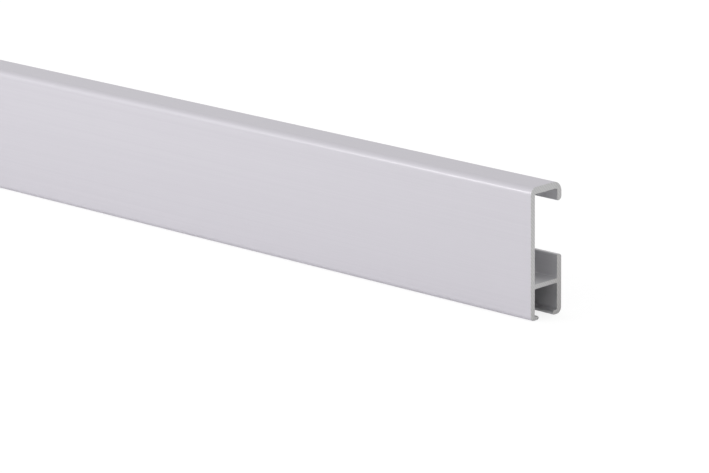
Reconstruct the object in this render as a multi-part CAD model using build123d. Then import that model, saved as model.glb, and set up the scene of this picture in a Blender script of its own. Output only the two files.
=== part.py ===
"""Click-on picture rail: one straight length of extruded aluminium, sawn square at both ends.

The rail stands as it hangs on a wall. X runs along it, +Y points at the wall and +Z is up.
The origin is the middle of the rectangle that it stands on. All sizes are in millimetres.
"""

import os

from build123d import *

# Overall sizes
length = 1000.0
height = 28.0
depth = 9.3

# Walls of the section
face_wall = 1.2
roof_wall = 1.5
lip_wall = 1.25
back_wall = 1.3
web_wall = 1.0
front_toe_wall = 0.8
rear_toe_wall = 0.9

# Clip channel: the lip and the back wall's upstand leave the mouth that clicks over a wall clip
lip_drop = 4.1
upstand_rise = 5.0

# Hook channel: the room between toes and web, and how far each toe reaches in under it
hook_room = 5.7
toe_reach = 1.2

# Outside bends of the section
front_top_radius = 1.5
rear_top_radius = 2.3
front_toe_radius = 0.95
rear_toe_radius = 1.3

# Inside corners, and the rounding of a wall's free edge as a share of that wall
root_radius = 0.3
lip_root_radius = 0.6
rear_toe_root_radius = 0.4
lip_edge_share = 0.72
upstand_edge_share = 0.55
inner_edge_share = 0.2
toe_edge_share = 0.46


def section_corners():
    """Corners of the section as (Y behind the show face, Z, radius), once round the outline."""
    roof_under = height - roof_wall
    lip_end = height - lip_drop
    lip_inside = depth - lip_wall
    back_inside = depth - back_wall
    web_under = rear_toe_wall + hook_room
    web_top = web_under + web_wall
    back_top = web_top + upstand_rise
    front_toe_tip = face_wall + toe_reach
    rear_toe_tip = back_inside - toe_reach
    front_toe_edge = front_toe_wall * toe_edge_share
    rear_toe_edge = rear_toe_wall * toe_edge_share

    show_face = [
        (0, 0, front_toe_radius),
        (0, height, front_top_radius),
    ]
    roof_and_lip = [
        (depth, height, rear_top_radius),
        (depth, lip_end, lip_wall * lip_edge_share),
        (lip_inside, lip_end, lip_wall * inner_edge_share),
        (lip_inside, roof_under, lip_root_radius),
    ]
    clip_channel = [
        (face_wall, roof_under, root_radius),
        (face_wall, web_top, root_radius),
        (back_inside, web_top, root_radius),
    ]
    upstand_and_back = [
        (back_inside, back_top, back_wall * inner_edge_share),
        (depth, back_top, back_wall * upstand_edge_share),
        (depth, 0, rear_toe_radius),
    ]
    rear_toe = [
        (rear_toe_tip, 0, rear_toe_edge),
        (rear_toe_tip, rear_toe_wall, rear_toe_edge),
    ]
    hook_channel = [
        (back_inside, rear_toe_wall, rear_toe_root_radius),
        (back_inside, web_under, root_radius),
        (face_wall, web_under, root_radius),
        (face_wall, front_toe_wall, root_radius),
    ]
    front_toe = [
        (front_toe_tip, front_toe_wall, front_toe_edge),
        (front_toe_tip, 0, front_toe_edge),
    ]
    upper = show_face + roof_and_lip + clip_channel + upstand_and_back
    lower = rear_toe + hook_channel + front_toe
    return upper + lower


def rail():
    """The section, centred on its depth and drawn out to the same length each way."""
    corners = section_corners()
    points = [(y - depth / 2, z) for y, z, _ in corners]
    radii = [radius for _, _, radius in corners]
    with BuildPart() as built:
        with BuildSketch(Plane.YZ):
            with BuildLine():
                FilletPolyline(*points, radius=radii, close=True)
            make_face()
        extrude(amount=length / 2, both=True)
    return built.part


os.makedirs("parts", exist_ok=True)
export_step(rail(), "parts/rail.step")
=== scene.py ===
"""Looks of the picture rail: satin skin, sawn ends, a white studio floor and the photograph's camera.

Everything is in metres, in the frame of the solids: X along the rail, +Y towards the wall, +Z up.
"""

import math

import bmesh
import bpy
from mathutils import Matrix, Vector
from mathutils.geometry import convex_hull_2d


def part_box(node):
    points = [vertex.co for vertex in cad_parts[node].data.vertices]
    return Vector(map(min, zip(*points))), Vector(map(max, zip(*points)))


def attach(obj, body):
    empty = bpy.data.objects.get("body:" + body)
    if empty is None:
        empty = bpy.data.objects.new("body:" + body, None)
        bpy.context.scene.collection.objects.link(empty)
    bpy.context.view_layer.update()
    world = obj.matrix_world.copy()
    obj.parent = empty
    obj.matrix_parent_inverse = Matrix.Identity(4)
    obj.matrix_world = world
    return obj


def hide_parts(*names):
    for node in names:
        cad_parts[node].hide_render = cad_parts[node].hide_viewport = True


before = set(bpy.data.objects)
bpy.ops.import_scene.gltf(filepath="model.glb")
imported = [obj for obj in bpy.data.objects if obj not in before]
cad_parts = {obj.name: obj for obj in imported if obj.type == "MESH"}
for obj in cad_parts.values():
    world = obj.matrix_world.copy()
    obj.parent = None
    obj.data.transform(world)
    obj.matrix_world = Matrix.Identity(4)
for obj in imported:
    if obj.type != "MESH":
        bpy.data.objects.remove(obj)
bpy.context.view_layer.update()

MM = 0.001

# Rail: points nearer than the weld count as one, and a small rounding breaks the edge of each sawn end
WELD = 0.001 * MM
BURR_RADIUS = 0.12 * MM
BURR_STEPS = 3
SKIN, INSIDE, SAWN = range(3)

# All finishes: the depth of the relief, and the stretch of a pattern's values that sets the roughness
RELIEF_DEPTH = 0.02 * MM
PATTERN_SPAN = 0.3, 0.7

# Sockets of a Mix node: its two colours, and the mixed one
MIX_A = 6
MIX_B = 7
MIXED = 2

# Satin skin: each pair is the value at the low and at the high end of its pattern
SKIN_COLOURS = (0.660, 0.645, 0.682), (0.684, 0.668, 0.707)
SKIN_ROUGHNESS = 0.68, 0.76
SKIN_LINES = {"stretch": 400.0, "scale": 2600.0, "detail": 3.0}
SKIN_GRAIN = {"stretch": 1.0, "scale": 5200.0, "detail": 2.0}
SKIN_RELIEF = 0.06

# Clear layer on the skin: weak, and of a high index, so that it mirrors about alike at all angles
COAT_WEIGHT = 0.073
COAT_ROUGHNESS = 0.18
COAT_IOR = 4.0

# Inside of the channels
INSIDE_COLOURS = (0.615, 0.612, 0.625), (0.725, 0.721, 0.737)
INSIDE_ROUGHNESS = 0.52, 0.62
INSIDE_LINES = {"stretch": 200.0, "scale": 3200.0, "detail": 4.0}
INSIDE_RELIEF = 0.15

# Sawn ends: the point that the saw marks curve round, and painted shading that lightens the end along its
# direction, from the back and bottom to the front and top
SHADED_END_COLOURS = (0.418, 0.411, 0.406), (0.538, 0.530, 0.525)
LIT_END_COLOURS = (0.53, 0.53, 0.53), (0.65, 0.65, 0.65)
SAWN_ROUGHNESS = 0.45, 0.6
SAWN_RELIEF = 0.15
SAW_CENTRE = Vector((0, -90 * MM, -50 * MM))
SAW_MARKS = {"Scale": 620.0, "Distortion": 3.0, "Detail": 3.0, "Detail_Scale": 2.0}
END_SHADING_DIRECTION = (0, -0.963, 0.271)
END_SHADING_SPAN = -3 * MM, 5.5 * MM

# Camera: where it stands from the lower front corner of the near end, and how it is turned, in degrees
CAMERA_OFFSET = Vector((550.202 * MM, -617.901 * MM, 240.989 * MM))
CAMERA_YAW = 44.155
CAMERA_PITCH = 15.074
CAMERA_ROLL = -0.588
CAMERA_LENS = 215.209
SENSOR_WIDTH = 36.0

# Studio light: the direction of its brightest side, and its levels there and opposite
BRIGHT_SIDE = Vector((0.5, -0.8, 0.33)).normalized()
BRIGHT_LEVEL = 0.975
DIM_LEVEL = 0.75

# Key softbox: its place is taken from the top of the near end
KEY_OFFSET = Vector((-0.33, -0.40, 0.12))
KEY_WIDTH = 0.15
KEY_HEIGHT = 0.12
KEY_WATTS = 0.5

# Floor: its white, the glow that mirror images of it get, and the white and glow that the camera sees
FLOOR_SIDE = 60.0
FLOOR_GAP = 0.02 * MM
FLOOR_WHITE = 0.88
MIRRORED_GLOW = 0.04
SHOWN_WHITE = 0.25
SHOWN_GLOW = 0.80


def end_outline(node):
    """The section's outline as (y, z) pairs, anticlockwise seen from +X, read off the solid's end."""
    solid = bmesh.new()
    solid.from_mesh(node.data)
    bmesh.ops.remove_doubles(solid, verts=solid.verts, dist=WELD)
    end = max(v.co.x for v in solid.verts)
    cap = {f for f in solid.faces if all(end - v.co.x < WELD for v in f.verts)}
    rim = {e for f in cap for e in f.edges if sum(g in cap for g in e.link_faces) == 1}
    here = min((v for e in rim for v in e.verts), key=lambda v: (v.co.z, v.co.y))
    points = []
    while rim:
        edge = next(e for e in here.link_edges if e in rim)
        rim.remove(edge)
        here = edge.other_vert(here)
        points.append((here.co.y, here.co.z))
    solid.free()
    pairs = zip(points, points[1:] + points[:1])
    doubled_area = sum(a[0] * b[1] - b[0] * a[1] for a, b in pairs)
    return points if doubled_area > 0 else points[::-1]


def outline_normals(points):
    """Outward unit normal at each point: that of its two edges, each counted by its length."""
    normals = []
    for before, after in zip(points[-1:] + points[:-1], points[1:] + points[:1]):
        run = (after[0] - before[0], after[1] - before[1])
        length = math.hypot(*run)
        normals.append((run[1] / length, -run[0] / length))
    return normals


def end_ring(points, normals, length, side, turn):
    """One loop round an end of the rail, as a list of places and a list of normals.

    The turn goes from 0, where the section is full, to a quarter turn, which is the rim of the end face.
    """
    inset = BURR_RADIUS * (1 - math.cos(turn))
    x = side * (length / 2 - BURR_RADIUS * (1 - math.sin(turn)))
    places = [(x, y - ny * inset, z - nz * inset) for (y, z), (ny, nz) in zip(points, normals)]
    facings = [(side * math.sin(turn), ny * math.cos(turn), nz * math.cos(turn)) for ny, nz in normals]
    return places, facings


def rail_mesh(points, length):
    """The outline drawn along X, with rounded edges at both ends and normals that follow the curves."""
    normals = outline_normals(points)
    turns = [math.pi / 2 * k / BURR_STEPS for k in range(BURR_STEPS + 1)]
    stations = [(-1, turn) for turn in reversed(turns)] + [(1, turn) for turn in turns]
    rings = [end_ring(points, normals, length, side, turn) for side, turn in stations]
    places = [place for ring, _ in rings for place in ring]
    facings = [facing for _, ring in rings for facing in ring]
    count = len(points)
    last = len(places) - count
    faces = []
    for start in range(0, last, count):
        for k in range(count):
            here = start + k
            after = start + (k + 1) % count
            faces.append((here, after, after + count, here + count))
    faces.append(range(count)[::-1])
    faces.append(range(last, last + count))
    mesh = bpy.data.meshes.new("picture_rail")
    mesh.from_pydata(places, [], faces)
    mesh.polygons.foreach_set("use_smooth", [True] * len(mesh.polygons))
    mesh.normals_split_custom_set_from_vertices(facings)
    return mesh


def outer_points(points):
    """The numbers of the points on the section's outside: its hull, and what lies on its four sides."""
    ys, zs = zip(*points)
    sides = (min(ys), max(ys)), (min(zs), max(zs))

    def on_a_side(point):
        """Whether the point lies on one of the four sides of the section's box."""
        return any(abs(p - side) < WELD for p, pair in zip(point, sides) for side in pair)

    flush = {k for k, point in enumerate(points) if on_a_side(point)}
    return flush | set(convex_hull_2d(points))


def face_finishes(points, face_count):
    """Each face's finish, in the mesh's order. The broken edge of a sawn end is sawn too."""
    outer = outer_points(points)
    count = len(points)
    skin = [SKIN if {k, (k + 1) % count} <= outer else INSIDE for k in range(count)]
    broken_edge = [SAWN] * (count * BURR_STEPS)
    finishes = broken_edge + skin + broken_edge + [SAWN, SAWN]
    assert len(finishes) == face_count
    return finishes


def new_material(name):
    """A new node material; returns it with its node tree and its Principled shader."""
    material = bpy.data.materials.new(name)
    material.use_nodes = True
    tree = material.node_tree
    return material, tree, tree.nodes["Principled BSDF"]


def new_node(tree, kind, settings=(), **inputs):
    """A node with the named settings and input values; an input's name has _ for each space."""
    node = tree.nodes.new(kind)
    for name, value in dict(settings).items():
        setattr(node, name, value)
    for name, value in inputs.items():
        node.inputs[name.replace("_", " ")].default_value = value
    return node


def stretched_noise(tree, stretch, scale, detail):
    """A noise pattern in the rail's own coordinates, drawn out along X by the given stretch."""
    place = new_node(tree, "ShaderNodeTexCoord")
    mapping = new_node(tree, "ShaderNodeMapping", Scale=(1 / stretch, 1, 1))
    noise = new_node(tree, "ShaderNodeTexNoise", Scale=scale, Detail=detail)
    tree.links.new(place.outputs["Object"], mapping.inputs["Vector"])
    tree.links.new(mapping.outputs["Vector"], noise.inputs["Vector"])
    return noise.outputs["Fac"]


def saw_marks(tree):
    """A pattern of fine arcs round the saw's centre, over the end faces."""
    place = new_node(tree, "ShaderNodeTexCoord")
    mapping = new_node(tree, "ShaderNodeMapping", Location=-SAW_CENTRE)
    rings = {"wave_type": "RINGS", "rings_direction": "X"}
    marks = new_node(tree, "ShaderNodeTexWave", rings, **SAW_MARKS)
    tree.links.new(place.outputs["Object"], mapping.inputs["Vector"])
    tree.links.new(mapping.outputs["Vector"], marks.inputs["Vector"])
    return marks.outputs["Fac"]


def along(tree, coordinates, direction):
    """How far the named coordinates reach in a direction."""
    place = new_node(tree, "ShaderNodeTexCoord")
    reach = new_node(tree, "ShaderNodeVectorMath", {"operation": "DOT_PRODUCT"})
    reach.inputs[1].default_value = direction
    tree.links.new(place.outputs[coordinates], reach.inputs[0])
    return reach.outputs["Value"]


def spread(tree, value, start, end, low, high):
    """The value's stretch from start to end, spread over low to high."""
    span = new_node(tree, "ShaderNodeMapRange", From_Min=start, From_Max=end, To_Min=low, To_Max=high)
    tree.links.new(value, span.inputs["Value"])
    return span.outputs["Result"]


def colour_mix(tree, factor):
    """A Mix node for colours, with its factor linked."""
    mix = new_node(tree, "ShaderNodeMix", {"data_type": "RGBA"})
    tree.links.new(factor, mix.inputs["Factor"])
    return mix


def mixed_colour(tree, pattern, low, high):
    """A colour from low to high, by the pattern."""
    mix = colour_mix(tree, pattern)
    mix.inputs[MIX_A].default_value = (*low, 1)
    mix.inputs[MIX_B].default_value = (*high, 1)
    return mix.outputs[MIXED]


def dress_metal(tree, shader, colour, roughness, relief, relief_strength):
    """Makes the shader metal of the given colour and roughness, with the relief pattern on it."""
    bump = new_node(tree, "ShaderNodeBump", Strength=relief_strength, Distance=RELIEF_DEPTH)
    tree.links.new(relief, bump.inputs["Height"])
    tree.links.new(colour, shader.inputs["Base Color"])
    tree.links.new(roughness, shader.inputs["Roughness"])
    tree.links.new(bump.outputs["Normal"], shader.inputs["Normal"])
    shader.inputs["Metallic"].default_value = 1.0


def skin_material():
    """Satin anodised show surface: faint die lines and a fine etched grain under a weak clear layer."""
    material, tree, shader = new_material("satin_anodised")
    lines = stretched_noise(tree, **SKIN_LINES)
    grain = stretched_noise(tree, **SKIN_GRAIN)
    colour = mixed_colour(tree, lines, *SKIN_COLOURS)
    roughness = spread(tree, lines, *PATTERN_SPAN, *SKIN_ROUGHNESS)
    dress_metal(tree, shader, colour, roughness, grain, SKIN_RELIEF)
    shader.inputs["Coat Weight"].default_value = COAT_WEIGHT
    shader.inputs["Coat Roughness"].default_value = COAT_ROUGHNESS
    shader.inputs["Coat IOR"].default_value = COAT_IOR
    return material


def inside_material():
    """As-extruded surface inside the channels: greyer and more plainly lined than the show face."""
    material, tree, shader = new_material("mill_finish")
    lines = stretched_noise(tree, **INSIDE_LINES)
    colour = mixed_colour(tree, lines, *INSIDE_COLOURS)
    roughness = spread(tree, lines, *PATTERN_SPAN, *INSIDE_ROUGHNESS)
    dress_metal(tree, shader, colour, roughness, lines, INSIDE_RELIEF)
    return material


def sawn_material():
    """Bare sawn aluminium: fine curved saw marks, and painted shading that lightens the end from the back
    and bottom to the front and top.
    """
    material, tree, shader = new_material("sawn_aluminium")
    marks = saw_marks(tree)
    # Painted shading: the sawn end's colour goes from a darker shade at the back and bottom to a lighter
    # one at the front and top
    painted_shading = spread(tree, along(tree, "Object", END_SHADING_DIRECTION), *END_SHADING_SPAN, 0, 1)
    colour = colour_mix(tree, painted_shading)
    tree.links.new(mixed_colour(tree, marks, *SHADED_END_COLOURS), colour.inputs[MIX_A])
    tree.links.new(mixed_colour(tree, marks, *LIT_END_COLOURS), colour.inputs[MIX_B])
    roughness = spread(tree, marks, *PATTERN_SPAN, *SAWN_ROUGHNESS)
    dress_metal(tree, shader, colour.outputs[MIXED], roughness, marks, SAWN_RELIEF)
    return material


def add_rail():
    """The whole rail, in place of its solid."""
    low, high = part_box("rail")
    length = high.x - low.x
    outline = end_outline(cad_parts["rail"])
    mesh = rail_mesh(outline, length)
    for material in (skin_material(), inside_material(), sawn_material()):
        mesh.materials.append(material)
    for face, finish in zip(mesh.polygons, face_finishes(outline, len(mesh.polygons))):
        face.material_index = finish
    rail = bpy.data.objects.new("picture_rail", mesh)
    bpy.context.scene.collection.objects.link(rail)
    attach(rail, "root")
    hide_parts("rail")


def glowing_matt(tree, white):
    """A matt white with a glow added; returns its shader and the input for the glow's strength."""
    matt = new_node(tree, "ShaderNodeBsdfDiffuse", Color=(white, white, white, 1))
    glow = new_node(tree, "ShaderNodeEmission")
    both = new_node(tree, "ShaderNodeAddShader")
    tree.links.new(matt.outputs[0], both.inputs[0])
    tree.links.new(glow.outputs[0], both.inputs[1])
    return both.outputs[0], glow.inputs["Strength"]


def floor_material():
    """Matt white floor. To the camera a glow lifts it to white, and the rail's shadow stays faint."""
    material, tree, shader = new_material("white_floor")
    tree.nodes.remove(shader)
    rays = new_node(tree, "ShaderNodeLightPath")
    mirrored = new_node(tree, "ShaderNodeMath", {"operation": "MAXIMUM"})
    mirrored_glow = new_node(tree, "ShaderNodeMath", {"operation": "MULTIPLY"})
    mirrored_glow.inputs[1].default_value = MIRRORED_GLOW
    plain, plain_glow = glowing_matt(tree, FLOOR_WHITE)
    shown, shown_glow = glowing_matt(tree, SHOWN_WHITE)
    shown_glow.default_value = SHOWN_GLOW
    choice = new_node(tree, "ShaderNodeMixShader")
    tree.links.new(rays.outputs["Is Glossy Ray"], mirrored.inputs[0])
    tree.links.new(rays.outputs["Is Transmission Ray"], mirrored.inputs[1])
    tree.links.new(mirrored.outputs[0], mirrored_glow.inputs[0])
    tree.links.new(mirrored_glow.outputs[0], plain_glow)
    tree.links.new(rays.outputs["Is Camera Ray"], choice.inputs[0])
    tree.links.new(plain, choice.inputs[1])
    tree.links.new(shown, choice.inputs[2])
    tree.links.new(choice.outputs[0], tree.nodes["Material Output"].inputs["Surface"])
    return material


def add_floor():
    """The floor that the rail stands on."""
    half = FLOOR_SIDE / 2
    corners = [(-half, -half), (half, -half), (half, half), (-half, half)]
    mesh = bpy.data.meshes.new("floor")
    mesh.from_pydata([(x, y, -FLOOR_GAP) for x, y in corners], [], [(0, 1, 2, 3)])
    mesh.materials.append(floor_material())
    floor = bpy.data.objects.new("floor", mesh)
    bpy.context.scene.collection.objects.link(floor)


def add_world():
    """Even studio light from all round, rising a little towards its bright side."""
    world = bpy.data.worlds.new("studio")
    world.use_nodes = True
    tree = world.node_tree
    facing = along(tree, "Generated", BRIGHT_SIDE)
    strength = spread(tree, facing, -1, 1, DIM_LEVEL, BRIGHT_LEVEL)
    background = tree.nodes["Background"]
    background.inputs["Color"].default_value = (1, 1, 1, 1)
    tree.links.new(strength, background.inputs["Strength"])
    bpy.context.scene.world = world


def add_softbox():
    """The key softbox, at the front left, a little above the rail and out of the camera's sight.

    It draws the line of light on the top bend, which fades away from the near end.
    """
    _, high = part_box("rail")
    near_end = Vector((high.x, 0, high.z))
    light = bpy.data.lights.new("key_softbox", "AREA")
    light.energy = KEY_WATTS
    light.shape = "RECTANGLE"
    light.size = KEY_WIDTH
    light.size_y = KEY_HEIGHT
    lamp = bpy.data.objects.new("key_softbox", light)
    lamp.location = near_end + KEY_OFFSET
    lamp.rotation_mode = "QUATERNION"
    lamp.rotation_quaternion = KEY_OFFSET.to_track_quat("Z", "Y")
    lamp.visible_camera = False
    bpy.context.scene.collection.objects.link(lamp)


def add_camera():
    """The photograph's viewpoint, held by its distance from the near end of the rail."""
    low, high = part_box("rail")
    yaw, pitch, roll = map(math.radians, (CAMERA_YAW, CAMERA_PITCH, CAMERA_ROLL))
    level = Vector((math.cos(yaw), math.sin(yaw), 0))
    back = Vector((math.sin(yaw) * math.cos(pitch), -math.cos(yaw) * math.cos(pitch), math.sin(pitch)))
    raised = back.cross(level)
    right = level * math.cos(roll) + raised * math.sin(roll)
    up = raised * math.cos(roll) - level * math.sin(roll)
    lens = bpy.data.cameras.new("camera")
    lens.sensor_fit = "HORIZONTAL"
    lens.sensor_width = SENSOR_WIDTH
    lens.lens = CAMERA_LENS
    camera = bpy.data.objects.new("camera", lens)
    turn = Matrix((right, up, back)).transposed().to_4x4()
    camera.matrix_world = Matrix.Translation(Vector((high.x, low.y, low.z)) + CAMERA_OFFSET) @ turn
    bpy.context.scene.collection.objects.link(camera)
    bpy.context.scene.camera = camera


add_rail()
add_floor()
add_world()
add_softbox()
add_camera()
bpy.context.scene.view_settings.view_transform = "Standard"
